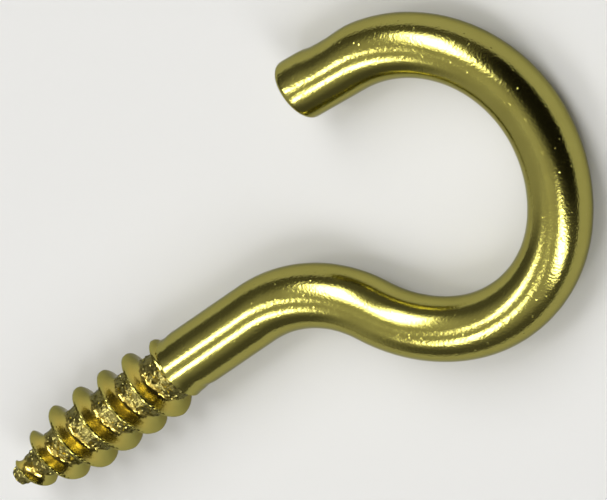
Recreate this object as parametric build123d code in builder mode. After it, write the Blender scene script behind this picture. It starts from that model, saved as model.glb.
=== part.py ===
from build123d import *
from math import atan2, ceil, cos, degrees, sin, tau
import os

# Cup hook: one length of plated wire, bent to an open hook, with a wood-screw thread rolled on its
# straight end. It lies flat in XY with the screw along X, its tip towards -X and the hook towards +X.
# The hook's open end is on the +Y side. The origin is on the screw's axis, where the full depth of the
# thread ends and its run-out begins.

# Wire
wire_diameter = 3.0
shank_length = 4.96

# Thread, right-handed, with one start
thread_diameter = 3.8
core_diameter = 2.5
thread_pitch = 1.57
full_thread_length = 5.2
run_out_length = 1.17
run_out_diameter = 3.2

# Section of the thread: slender ridges with steep flanks, and the wide flat root of the groove between them
root_width = 0.73
crest_width = 0.15

# Blunt point of the screw
point_length = 4.0
point_swell = 0.2
tip_diameter = 1.0
tip_core_diameter = 0.8
tip_chamfer = 0.15

# Bends in the order in which they follow the shank: radius of the wire's centre line, angle in degrees
neck_radius = 5.81
neck_angle = 59.7
throat_radius = 7.24
throat_angle = 36.1
bowl_radius = 6.18
bowl_angle = 71.4
back_radius = 7.41
back_angle = 33.9
brow_radius = 6.6
brow_angle = 93.9

# Cut end of the wire
end_length = 3.07
end_dome = 0.1
end_rounding = 0.3

# How far the groove's cutter stands out of the thread's crests
overrun = 0.06

# Sizes that follow from those above
wire_radius = wire_diameter / 2
thread_radius = thread_diameter / 2
core_radius = core_diameter / 2
run_out_radius = run_out_diameter / 2
tip_radius = tip_diameter / 2
groove_width = thread_pitch - crest_width
groove_start = run_out_length + groove_width
point_place = -full_thread_length
tip_place = point_place - point_length
neck_place = run_out_length + shank_length
point_core_rise = (tip_core_diameter - core_diameter) / 2
swell_place = (tip_place + point_place) / 2
swell_radius = (tip_radius + thread_radius) / 2 + point_swell
bends = [
    (neck_radius, -neck_angle),
    (throat_radius, throat_angle),
    (bowl_radius, bowl_angle),
    (back_radius, back_angle),
    (brow_radius, brow_angle),
]


def groove_plane(place):
    """Plane across the screw, with its x through the groove at that place and its z towards the tip."""
    angle = tau * place / thread_pitch
    return Plane(origin=(place, 0, 0), x_dir=(0, cos(angle), sin(angle)), z_dir=(-1, 0, 0))


def groove_section(place):
    """Section of the groove in a plane through the screw's axis."""
    across = groove_plane(place)
    with BuildSketch(Plane(across.origin, x_dir=across.x_dir, z_dir=-across.y_dir)) as section:
        with BuildLine():
            flank = Line((core_radius, root_width / 2), (thread_radius + overrun, groove_width / 2))
            mirror(flank, about=Plane.XZ)
            Line(flank @ 0, (core_radius, -root_width / 2))
            Line(flank @ 1, (thread_radius + overrun, -groove_width / 2))
        make_face()
    return section.sketch


def groove_root(place, length, rise):
    """Root line of one run of the groove, in half turns, along which its radius grows by the rise."""
    half_turns = ceil(2 * length / thread_pitch)
    taper = atan2(rise, length)
    lines = []
    for step in range(half_turns):
        share = step / half_turns
        helix = Helix(
            pitch=thread_pitch / cos(taper),
            height=length / half_turns,
            radius=core_radius + rise * share,
            cone_angle=degrees(taper),
        )
        lines.append(groove_plane(place - length * share).location * helix)
    return Wire(lines)


# Two runs of the groove: at full depth, starting beyond the run-out, and on down the point
groove_runs = [
    (groove_start, groove_start - point_place, 0),
    (point_place, point_length + overrun, point_core_rise),
]
grooves = [(groove_section(place), groove_root(place, length, rise)) for place, length, rise in groove_runs]

with BuildPart() as cup_hook:
    # Screw blank, as far out as the crests
    with BuildSketch(Plane.XZ) as blank:
        with BuildLine():
            Polyline(
                (tip_place, 0),
                (tip_place, tip_radius),
                (swell_place, swell_radius),
                (point_place, thread_radius),
                (0, thread_radius),
                (run_out_length, run_out_radius),
                (run_out_length, 0),
                close=True,
            )
        make_face()
        chamfer(blank.vertices().group_by(Axis.X)[0].sort_by(Axis.Y)[-1], tip_chamfer)
    revolve(axis=Axis.X)

    # Thread groove
    for section, root_line in grooves:
        sweep(section, root_line, is_frenet=True, clean=False, mode=Mode.SUBTRACT)

    # Plain shank, against which the thread ends
    with BuildSketch(Plane.YZ.offset(run_out_length)):
        Circle(wire_radius)
    extrude(amount=shank_length)

    # Bent wire
    with BuildLine() as bent_wire:
        place = Vector(neck_place, 0)
        heading = Vector(1, 0)
        for bend_radius, bend_angle in bends:
            bend = JernArc(place, heading, bend_radius, bend_angle)
            place = bend @ 1
            heading = bend % 1
    with BuildSketch(Plane.YZ.offset(neck_place)):
        Circle(wire_radius)
    sweep(path=bent_wire.line)

    # Cut end, slightly domed, with a rounded edge
    with BuildSketch(Plane(place, x_dir=heading, z_dir=(0, 0, 1))) as end:
        with BuildLine():
            side = Polyline((end_length + end_dome, 0), (0, 0), (0, wire_radius), (end_length, wire_radius))
            TangentArc(side @ 0, side @ 1, tangent=(0, 1))
        make_face()
        fillet(end.vertices().group_by(Axis.Y)[-1].sort_by(Axis.X)[-1], end_rounding)
    revolve(axis=Axis(place, heading))

os.makedirs("parts", exist_ok=True)
cup_hook.part.label = "cup_hook"
export_step(cup_hook.part, "parts/cup_hook.step")
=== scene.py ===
from math import cos, pi, radians, sin, tau

import bpy
import numpy as np
from mathutils import Matrix, Vector, noise


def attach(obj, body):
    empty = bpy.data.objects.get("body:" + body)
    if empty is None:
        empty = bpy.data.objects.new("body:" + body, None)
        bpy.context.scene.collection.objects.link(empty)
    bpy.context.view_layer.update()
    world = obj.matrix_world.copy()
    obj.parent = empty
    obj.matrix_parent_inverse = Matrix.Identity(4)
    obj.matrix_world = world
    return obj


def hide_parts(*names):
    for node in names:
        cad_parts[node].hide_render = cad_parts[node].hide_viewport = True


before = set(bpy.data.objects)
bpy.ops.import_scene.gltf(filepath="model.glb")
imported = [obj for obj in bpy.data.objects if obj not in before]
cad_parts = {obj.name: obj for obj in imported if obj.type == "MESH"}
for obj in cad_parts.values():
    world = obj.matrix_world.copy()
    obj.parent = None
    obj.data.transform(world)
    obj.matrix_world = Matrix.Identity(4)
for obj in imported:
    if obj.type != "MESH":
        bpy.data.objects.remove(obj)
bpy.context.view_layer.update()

# Sizes of the hook in millimetres, in the part's own frame
mm = 0.001
wire_radius = 1.5
crest_radius = 1.9
core_radius = 1.25
pitch = 1.57
tip_place = -9.2
point_place = -5.2
rim_place = 1.17
thread_end = 2.7
neck_place = 6.13
end_length = 3.17
end_rounding = 0.3

# Bends after the shank: centre of the bend, and its angle in degrees, anticlockwise from above
bends = [
    ((6.13, -5.81), -59.7),
    ((17.397, 0.774), 36.1),
    ((16.973, -0.197), 71.4),
    ((16.062, 0.629), 33.9),
    ((16.863, 0.512), 93.9),
]

# Rings of the wire: points in a ring, rings along the thread and along a straight run, degrees between the
# rings of a bend and on the rounded edge of the cut end, and sizes in which the rings of both ends close
sides = 176
thread_rings = 339
straight_rings = 8
bend_step = 2.5
rounding_angles = (18, 36, 54, 72, 90)
face_shares = (0.8, 0.55, 0.3, 0.1)
nose_shares = (0.75, 0.6, 0.4)

# How far beside a ring its points are still sought, in millimetres, and the reach of welding, in metres
hair = 0.01
weld_reach = 1e-6


def pick(piece, kind, test):
    """Selects in edit mode the vertices or edges that pass a test."""
    bpy.ops.object.mode_set(mode="EDIT")
    bpy.ops.mesh.select_mode(type=kind)
    bpy.ops.mesh.select_all(action="DESELECT")
    bpy.ops.object.mode_set(mode="OBJECT")
    for item in piece.data.vertices if kind == "VERT" else piece.data.edges:
        item.select = test(item)
    bpy.ops.object.mode_set(mode="EDIT")


def draw_ring(step, size, centre):
    """Extrudes the selected ring by a step and then resizes it about its new centre."""
    bpy.ops.mesh.extrude_region_move(TRANSFORM_OT_translate={"value": step})
    bpy.ops.transform.resize(value=(size, size, size), center_override=centre)


def close_pole():
    """Closes the selected ring to a point."""
    bpy.ops.mesh.extrude_region_move(TRANSFORM_OT_translate={"value": (0, 0, 0)})
    bpy.ops.mesh.merge(type="CENTER")


def bend_wire():
    """Draws a tube along the screw, then on through the shank, the five bends and the cut end."""
    bpy.ops.object.select_all(action="DESELECT")
    bpy.ops.mesh.primitive_cylinder_add(
        vertices=sides,
        radius=wire_radius * mm,
        depth=(thread_end - tip_place) * mm,
        end_fill_type="NOTHING",
        location=((thread_end + tip_place) / 2 * mm, 0, 0),
        rotation=(0, pi / 2, 0),
    )
    wire = bpy.context.object
    wire.name = "brass_plated_hook"
    bpy.ops.object.transform_apply(location=True, rotation=True, scale=True)

    # Rings for the thread
    points = wire.data.vertices

    def runs_along(edge):
        start, end = edge.vertices
        return abs(points[start].co.x - points[end].co.x) > mm

    pick(wire, "EDGE", runs_along)
    bpy.ops.mesh.subdivide_edgering(number_cuts=thread_rings, interpolation="LINEAR")

    # Shank and bends
    pick(wire, "VERT", lambda point: point.co.x > (thread_end - hair) * mm)
    for _ in range(straight_rings):
        bpy.ops.mesh.extrude_region_move(
            TRANSFORM_OT_translate={"value": ((neck_place - thread_end) / straight_rings * mm, 0, 0)}
        )
    place, heading = Vector((neck_place, 0, 0)), Vector((1, 0, 0))
    for centre, angle in bends:
        bpy.ops.mesh.spin(
            steps=round(abs(angle) / bend_step),
            angle=radians(-angle),
            center=(centre[0] * mm, centre[1] * mm, 0),
            axis=(0, 0, 1),
        )
        turn = Matrix.Rotation(radians(angle), 3, "Z")
        middle = Vector((*centre, 0))
        place = middle + turn @ (place - middle)
        heading = turn @ heading

    # Cut end: a straight run, a rounded edge and a flat face
    straight = end_length - end_rounding
    inner = wire_radius - end_rounding
    rings = [(straight * step / straight_rings, wire_radius) for step in range(straight_rings + 1)]
    for angle in map(radians, rounding_angles):
        rings.append((straight + end_rounding * sin(angle), inner + end_rounding * cos(angle)))
    rings += [(end_length, inner * share) for share in face_shares]
    for (ahead, radius), (next_ahead, next_radius) in zip(rings, rings[1:]):
        centre = (place + heading * next_ahead) * mm
        draw_ring(heading * (next_ahead - ahead) * mm, next_radius / radius, centre)
    close_pole()

    # Blunt nose of the screw
    pick(wire, "VERT", lambda point: point.co.x < (tip_place + hair) * mm)
    for size in nose_shares:
        draw_ring((0, 0, 0), size, (tip_place * mm, 0, 0))
    close_pole()

    bpy.ops.mesh.select_all(action="SELECT")
    bpy.ops.mesh.remove_doubles(threshold=weld_reach)
    bpy.ops.mesh.normals_make_consistent(inside=False)
    bpy.ops.object.mode_set(mode="OBJECT")
    return wire, place, heading


def read_points(wire):
    """The wire's points in millimetres."""
    points = np.zeros(len(wire.data.vertices) * 3)
    wire.data.vertices.foreach_get("co", points)
    return points.reshape(-1, 3) / mm


def write_points(wire, points):
    """Moves the wire's points to these places in millimetres."""
    wire.data.vertices.foreach_set("co", (points * mm).ravel())
    wire.data.update()


def mark(wire, name, values):
    """Keeps a share for each of the wire's points under a name that its material reads."""
    wire.data.attributes.new(name, "FLOAT", "POINT").data.foreach_set("value", values.astype(np.float32))


# Thread in millimetres: radius of its crests and of its core at places along the screw
crest_places = [tip_place, -9.05, -8.81, -7.85, -7.1, -6.24, -5.39, -4.75, 0, 0.74, 1.05, rim_place]
crest_radii = [0.42, 0.52, 0.65, 1.19, 1.415, 1.71, 1.84, crest_radius, crest_radius, 1.72, 1.57, 1.52]
core_places = [tip_place, point_place, 0.5, rim_place]
core_radii = [0.4, core_radius, core_radius, 1.33]

# Ridges: their crest, the fall of the flanks that face the tip and the hook, the hollow at the foot of the
# flank that faces the hook, and where on the point the turns begin to lie closer
crest_half_width = 0.05
tip_flank_fall = 2.4
tip_flank_rounding = 0.04
hook_flank_fall = 2.0
hollow_height = 0.3
closer_place = -4.6
closer_share = 0.965

# Torn metal: how finely its edges, its facets and the crumbs on them are drawn, and how high they stand
torn_seed = 1
ragged_scale = 4.0
uneven_scale = 1.6
uneven_shift = Vector((7, 3, 1))
facet_scale = 4.2
lean_scale = 9.7
level_scale = 5.3
crumb_scale = 12.0
lean_height = 0.1
level_height = 0.05
crumb_height = 0.015
facet_depth = 0.07
facet_height = 0.09

# Its reach: across the root, from the root's middle towards the hook, and along the screw
torn_start = -0.37
start_raggedness = 0.08
start_edge = [0, 0.08]
torn_stop = 0.6
stop_raggedness = 0.06
stop_edge = [0, 0.05]
torn_places = [tip_place, -8.9, 1.12, 1.16]
torn_shares = [0.7, 1, 1, 0]
rag_past_rim = 0.2

# Worn crests and the uneven tip, which is a little shorter than the solid's
crest_wear = 0.03
nub_height = 0.09
nub_places = [-8.9, -8.3]
tip_loss = 0.1
tip_loss_places = [tip_place, -8.4]

# Rim of the shank, where the rolling stopped: its ragged edge, the slight waist behind it, the swelling on
# one side, and how far the rolled thread lies beside the shank's axis
rim_raggedness = 0.04
rim_edge = [-0.04, 0.02]
waist_depth = 0.05
waist_place = 1.7
waist_slant = 0.3
waist_width = 0.25
swelling_height = 0.06
swelling_place = 1.1
swelling_width = 0.25
thread_shift = 0.04
thread_shift_places = [0.4, rim_place]

# Painted reflection at the foot of the ridges, across the root: a warm golden colour that stands in for
# light bounced between the flanks
painted_reflection_places = [-0.76, -0.6, -0.35, -0.15]
painted_reflection_shares = [0, 1, 0.7, 0.1]


def tear_root(x, core, turn, reached):
    """Facets, ragged edges and unevenness of the torn metal at the points that it reaches."""
    noise.seed_set(torn_seed)
    facets, ragged, uneven = np.zeros((3, len(x)))
    for i in np.nonzero(reached)[0]:
        spot = Vector((x[i], core[i] * cos(turn[i]), core[i] * sin(turn[i])))
        ragged[i] = noise.noise(spot * ragged_scale)
        uneven[i] = noise.noise(spot * uneven_scale + uneven_shift)
        cell = noise.voronoi(spot * facet_scale)[1][0]
        lean = noise.noise_vector(cell * lean_scale).dot(spot * facet_scale - cell)
        level = noise.noise(cell * level_scale)
        crumb = noise.noise(spot * crumb_scale)
        facets[i] = lean_height * lean + level_height * level + crumb_height * crumb
    return np.clip(facets, -facet_depth, facet_height), ragged, uneven


def roll_thread(wire):
    """Gives the screw's rings the section of the rolled thread: slender ridges over a torn root."""
    points = read_points(wire)
    x, y, z = points.T.copy()
    screw = x < thread_end + hair
    share = np.hypot(y, z) / wire_radius
    turn = np.arctan2(z, y) % tau
    side = np.cos(turn)
    even = np.where(x < closer_place, closer_place + (x - closer_place) * closer_share, x)
    from_root = (even - pitch * turn / tau + pitch / 2) % pitch - pitch / 2
    from_crest = pitch / 2 - abs(from_root)
    faces_tip = from_root > 0

    # Smooth form
    crest = np.interp(x, crest_places, crest_radii)
    core = np.interp(x, core_places, core_radii)
    away = np.maximum(from_crest - crest_half_width, 0)
    rounded = np.hypot(away, tip_flank_rounding) - tip_flank_rounding
    ridge = crest - np.where(faces_tip, tip_flank_fall * rounded, hook_flank_fall * away)
    foot = np.maximum(hollow_height - abs(ridge - core), 0) ** 2 / (4 * hollow_height)
    hollow = np.where(faces_tip, 0, foot)

    # Torn metal
    facets, ragged, uneven = tear_root(x, core, turn, screw & (x < rim_place + rag_past_rim))
    band = np.interp(from_root - torn_start + start_raggedness * ragged, start_edge, [0, 1])
    band *= np.interp(torn_stop + stop_raggedness * ragged - from_root, stop_edge, [0, 1])
    band *= np.interp(x, torn_places, torn_shares)
    nub = nub_height * ragged * np.interp(x, nub_places, [1, 0])
    worn = ridge - crest_wear * abs(uneven)
    thread = np.maximum(core, worn) + hollow + facets * band + nub

    # Rim of the shank and what lies behind it
    rim = rim_place + rim_raggedness * ragged
    past = np.interp(x - rim, rim_edge, [0, 1])
    from_waist = (x - waist_place + waist_slant * side) / waist_width
    waist = waist_depth * side**4 * np.exp(-(from_waist**2))
    from_swelling = (x - swelling_place) / swelling_width
    swelling = swelling_height * np.maximum(-side, 0) * np.exp(-(from_swelling**2))
    shank = wire_radius - waist + swelling
    radius = np.minimum(thread * (1 - past) + shank * past, crest_radius)
    radius = np.where(x < tip_place + hair, radius * share, radius)
    shift = np.interp(x, thread_shift_places, [thread_shift, 0])
    points[screw, 0] += np.interp(x, tip_loss_places, [tip_loss, 0])[screw]
    points[screw, 1] = (radius * side - shift)[screw]
    points[screw, 2] = (radius * np.sin(turn))[screw]
    write_points(wire, points)

    mark(wire, "torn", np.where(screw, band * (1 - past), 0))
    # Painted reflection: a golden colour at the foot of the ridges, strongest on their upper side, that
    # stands in for light bounced between the flanks
    painted_reflection_share = np.interp(from_root, painted_reflection_places, painted_reflection_shares)
    mark(wire, "painted_reflection", np.where(screw, painted_reflection_share * np.sin(turn) ** 2 * (1 - past), 0))


# Stretched plating in millimetres: centres of the hook and the neck, the radii about them between which it
# sets in, and the places along the screw's axis where it begins and ends
hook_centre = (16.8, 0.5)
hook_radii = [6.2, 7.4]
hook_places = [11, 13]
neck_centre = bends[0][0]
neck_radii = [5.4, 6.6]
neck_places = [6, 7, 10, 11.5]


def outer_side(x, y, centre, radii):
    """Share that rises from 0 to 1 between two radii about a centre."""
    return np.interp(np.hypot(x - centre[0], y - centre[1]), radii, [0, 1])


def mark_bends(wire):
    """Marks the outer side of the neck and the hook, where bending stretched the plating."""
    x, y, _ = read_points(wire).T
    on_hook = outer_side(x, y, hook_centre, hook_radii) * np.interp(x, hook_places, [0, 1])
    on_neck = outer_side(x, y, neck_centre, neck_radii) * np.interp(x, neck_places, [0, 1, 1, 0])
    mark(wire, "stretched", np.maximum(on_hook, on_neck))


# Cut end in millimetres: the side of the hook on which it lies, where along its straight run the trimming
# begins, the slant of its face, and the dent
open_side = 4
before_end = -1
end_slant = 0.1
slant_places = [1.8, end_length]
dent_depth = 0.1
dent_places = [-0.8, 0.4, 1.4, 1.9]


def trim_end(wire, place, heading):
    """Slants the cut end a little, and dents the wire's outer side just behind it."""
    points = read_points(wire)
    x, y = points[:, 0] - place.x, points[:, 1] - place.y
    ahead = x * heading.x + y * heading.y
    beside = y * heading.x - x * heading.y
    end = (ahead > before_end) & (abs(beside) < wire_radius + hair) & (points[:, 1] > open_side)
    slant = -end_slant * beside * np.interp(ahead, slant_places, [0, 1])
    dent = dent_depth * np.interp(ahead, dent_places, [0, 1, 1, 0])
    aside = -dent * np.minimum(beside, 0) / wire_radius
    points[end, 0] += (heading.x * slant - heading.y * aside)[end]
    points[end, 1] += (heading.y * slant + heading.x * aside)[end]
    write_points(wire, points)


class Value:
    """A shader socket that takes part in Python sums."""

    def __init__(self, shading, socket):
        self.shading = shading
        self.socket = socket

    def maths(self, operation, *terms):
        return self.shading.node("Math", {"operation": operation}, dict(enumerate(terms)))[0]

    def __add__(self, other):
        return self.maths("ADD", self, other)

    def __sub__(self, other):
        return self.maths("SUBTRACT", self, other)

    def __rsub__(self, other):
        return self.maths("SUBTRACT", other, self)

    def __mul__(self, other):
        return self.maths("MULTIPLY", self, other)

    __radd__ = __add__
    __rmul__ = __mul__

    def ramp(self, start, end):
        """Rises smoothly from 0 at the start to 1 at the end."""
        settings = {"interpolation_type": "SMOOTHSTEP"}
        return self.shading.node("MapRange", settings, {"Value": self, 1: start, 2: end})[0]


class Shading:
    """A node tree that is filled one node at a time."""

    def __init__(self, tree):
        self.tree = tree
        tree.nodes.clear()

    def node(self, kind, settings, sockets):
        node = self.tree.nodes.new("ShaderNode" + kind)
        for name, setting in settings.items():
            setattr(node, name, setting)
        for name, value in sockets.items():
            if isinstance(value, Value):
                self.tree.links.new(value.socket, node.inputs[name])
            else:
                node.inputs[name].default_value = value
        return [Value(self, output) for output in node.outputs]


# Colours of the plating: its two shades, the torn metal, a painted reflection of light bounced between the
# thread's flanks, and its edges
plating_dark = (0.3, 0.27, 0.067, 1)
plating_light = (0.37, 0.34, 0.09, 1)
torn_colour = (0.16, 0.146, 0.048, 1)
painted_reflection_colour = (0.8, 0.57, 0.11, 1)
painted_reflection_strength = 0.75
edge_tint = (0.6, 0.6, 0.55, 1)

# Roughness of the bright plating, and what clouds, torn metal and the painted reflection in the thread add
# to it
bright_roughness = 0.12
cloud_roughness = 0.06
torn_roughness = 0.12
painted_reflection_roughness = 0.08

# Texture of the plating: clouds, grain, orange peel and pits in spots to the metre, how strongly grain and
# pits show on the straight wire, and what stretching and tearing add
cloud_scale = 700.0
cloud_detail = 3.0
grain_scale = 8500.0
peel_scale = 5000.0
fine_detail = 2.0
pit_scale = 2200.0
pit_edge = (0.16, 0.06)
grain_height = 0.45
stretched_grain = 0.45
pit_depth = 0.3
stretched_pits = 0.5
stretched_peel = 0.2
torn_peel = 0.5
relief_strength = 0.6
relief_height = 0.00002


def brass_plating():
    """Bright brass plating: fine grain, orange peel where it was stretched, torn metal in the thread."""
    material = bpy.data.materials.new("brass_plating")
    material.use_nodes = True
    shading = Shading(material.node_tree)
    place = shading.node("TexCoord", {}, {})[3]
    torn, painted_reflection, stretched = [
        shading.node("Attribute", {"attribute_name": name}, {})[2]
        for name in ("torn", "painted_reflection", "stretched")
    ]

    def speckle(scale, detail):
        return shading.node("TexNoise", {}, {"Vector": place, "Scale": scale, "Detail": detail})[0]

    def blend(share, first, second):
        return shading.node("Mix", {"data_type": "RGBA"}, {0: share, 6: first, 7: second})[2]

    cloud = speckle(cloud_scale, cloud_detail)
    plating = blend(cloud, plating_dark, plating_light)
    dull = blend(torn, plating, torn_colour)
    # Painted reflection: a warm golden colour in the thread's hollows that stands in for light bounced
    # between the flanks
    colour = blend(painted_reflection * painted_reflection_strength, dull, painted_reflection_colour)
    roughness = bright_roughness + cloud_roughness * cloud + torn_roughness * torn + painted_reflection_roughness * painted_reflection
    pits = shading.node("TexVoronoi", {}, {"Vector": place, "Scale": pit_scale})[0].ramp(*pit_edge)
    grain = speckle(grain_scale, fine_detail) * (grain_height + stretched_grain * stretched)
    peel = speckle(peel_scale, fine_detail) * (stretched_peel * stretched + torn_peel * torn)
    relief = grain - pits * (pit_depth + stretched_pits * stretched) + peel
    bump = shading.node(
        "Bump", {}, {"Strength": relief_strength, "Distance": relief_height, "Height": relief}
    )[0]
    shader = shading.node(
        "BsdfPrincipled",
        {},
        {
            "Base Color": colour,
            "Metallic": 1.0,
            "Roughness": roughness,
            "Specular Tint": edge_tint,
            "Normal": bump,
        },
    )[0]
    shading.node("OutputMaterial", {}, {"Surface": shader})
    return material


# Floor in metres, with its slope from the thread's ridges up to the back of the hook
floor_size = 8
floor_slope = 0.4 / 23.5
floor_colour = (0.86, 0.86, 0.85, 1)


def pale_floor():
    """Pale floor that touches the thread's ridges and the back of the hook."""
    bpy.ops.object.select_all(action="DESELECT")
    bpy.ops.mesh.primitive_plane_add(size=floor_size)
    floor = bpy.context.object
    floor.name = "pale_floor"
    for point in floor.data.vertices:
        point.co.z = -crest_radius * mm + floor_slope * point.co.x
    material = bpy.data.materials.new("pale_floor")
    material.use_nodes = True
    shading = Shading(material.node_tree)
    shader = shading.node("BsdfDiffuse", {}, {"Color": floor_colour})[0]
    shading.node("OutputMaterial", {}, {"Surface": shader})
    floor.data.materials.append(material)


# View down on the hook from the side of its back, turned so that the screw points down to the left
view_point = Vector((9.961, 1.176, 0)) * mm
view_lean = radians(28)
view_turn = radians(34.46)
view_distance = 500 * mm
view_width = 27.68 * mm
sensor_width = 36
nearest_view = 0.01

# Soft boxes as they look from the hook: azimuth, angle from the zenith, breadth and height, all in degrees.
# Each has a brighter middle, the glint, that shows in the metal alone
soft_boxes = {
    "left": (74, 39, 24, 44),
    "right": (-79, 43, 17, 41),
    "far_left": (151, 36, 11, 21),
    "far_right": (-149, 37, 11, 22),
}
box_distance = 2
box_radiance = 4
glint_distance = 1.9
glint_radiance = 13
glint_share = 0.65

# Room: lean of its dark side behind the camera, the edges between which its left, right, far, high and
# overhead parts grow pale, and the light of its parts
room_lean = 0.53
left_edge = (0.5, 0.62)
right_edge = (-0.55, -1.05)
far_edge = (2.5, 2.85)
high_edge = (0.38, 0.8)
overhead_edge = (0.55, -0.2)
wall_light = 0.14
far_light = 0.44
dark_light = 0.012
overhead_light = 0.75
room_colour = (1, 0.98, 0.93, 1)


def lamp(name, away, azimuth, from_zenith, breadth, height, radiance):
    """Soft box in a direction from the hook, as broad and high in degrees as it looks from there."""
    flat = Vector((cos(radians(azimuth)), sin(radians(azimuth)), 0))
    out = flat * sin(radians(from_zenith)) + Vector((0, 0, cos(radians(from_zenith))))
    across = Vector((0, 0, 1)).cross(flat)
    light = bpy.data.lights.new(name, "AREA")
    light.shape = "RECTANGLE"
    light.size = away * radians(breadth)
    light.size_y = away * radians(height)
    light.energy = radiance * pi * light.size * light.size_y
    box = bpy.data.objects.new(name, light)
    bpy.context.scene.collection.objects.link(box)
    axes = Matrix((across, out.cross(across), out)).transposed().to_4x4()
    box.matrix_world = Matrix.Translation(view_point + out * away) @ axes
    return box


def studio_light():
    """Two large soft boxes beside the hook, two small ones beyond it, and a room dark behind the camera."""
    for name, (azimuth, from_zenith, breadth, height) in soft_boxes.items():
        lamp(name + "_lamp", box_distance, azimuth, from_zenith, breadth, height, box_radiance)
        glint = lamp(
            name + "_glint",
            glint_distance,
            azimuth,
            from_zenith,
            breadth * glint_share,
            height * glint_share,
            glint_radiance,
        )
        glint.visible_diffuse = False
    world = bpy.data.worlds.new("studio")
    bpy.context.scene.world = world
    world.use_nodes = True
    shading = Shading(world.node_tree)
    direction = shading.node("TexCoord", {}, {})[0]
    x, y, z = shading.node("SeparateXYZ", {}, {0: direction})
    azimuth = y.maths("ARCTAN2", y, x + room_lean * z)
    lit = azimuth.ramp(*left_edge) + azimuth.ramp(*right_edge)
    far = azimuth.maths("ABSOLUTE", azimuth).ramp(*far_edge)
    high = z.ramp(*high_edge)
    pale = wall_light + far_light * (high + far - high * far)
    dark = dark_light + overhead_light * x.ramp(*overhead_edge)
    radiance = lit * pale + (1 - lit) * dark
    background = shading.node("Background", {}, {"Color": room_colour, "Strength": radiance})[0]
    shading.node("OutputWorld", {}, {"Surface": background})


def camera_above():
    """Camera that looks down on the hook from the side of its back."""
    lens = bpy.data.cameras.new("camera")
    lens.sensor_width = sensor_width
    lens.sensor_fit = "HORIZONTAL"
    lens.lens = sensor_width * view_distance / view_width
    lens.clip_start = nearest_view
    camera = bpy.data.objects.new("camera", lens)
    bpy.context.scene.collection.objects.link(camera)
    out = Vector((sin(view_lean), 0, cos(view_lean)))
    along = Vector((cos(view_lean), 0, -sin(view_lean)))
    aside = Vector((0, 1, 0))
    right = along * cos(view_turn) - aside * sin(view_turn)
    up = along * sin(view_turn) + aside * cos(view_turn)
    axes = Matrix((right, up, out)).transposed().to_4x4()
    camera.matrix_world = Matrix.Translation(view_point + out * view_distance) @ axes
    bpy.context.scene.camera = camera


# Angle between faces above which an edge stays sharp
sharp_angle = radians(40)

bpy.context.scene.view_settings.view_transform = "Standard"
hook, end_place, end_heading = bend_wire()
roll_thread(hook)
mark_bends(hook)
trim_end(hook, end_place, end_heading)
bpy.ops.object.shade_smooth_by_angle(angle=sharp_angle)
hook.data.materials.append(brass_plating())
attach(hook, "root")
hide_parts("cup_hook")
pale_floor()
studio_light()
camera_above()
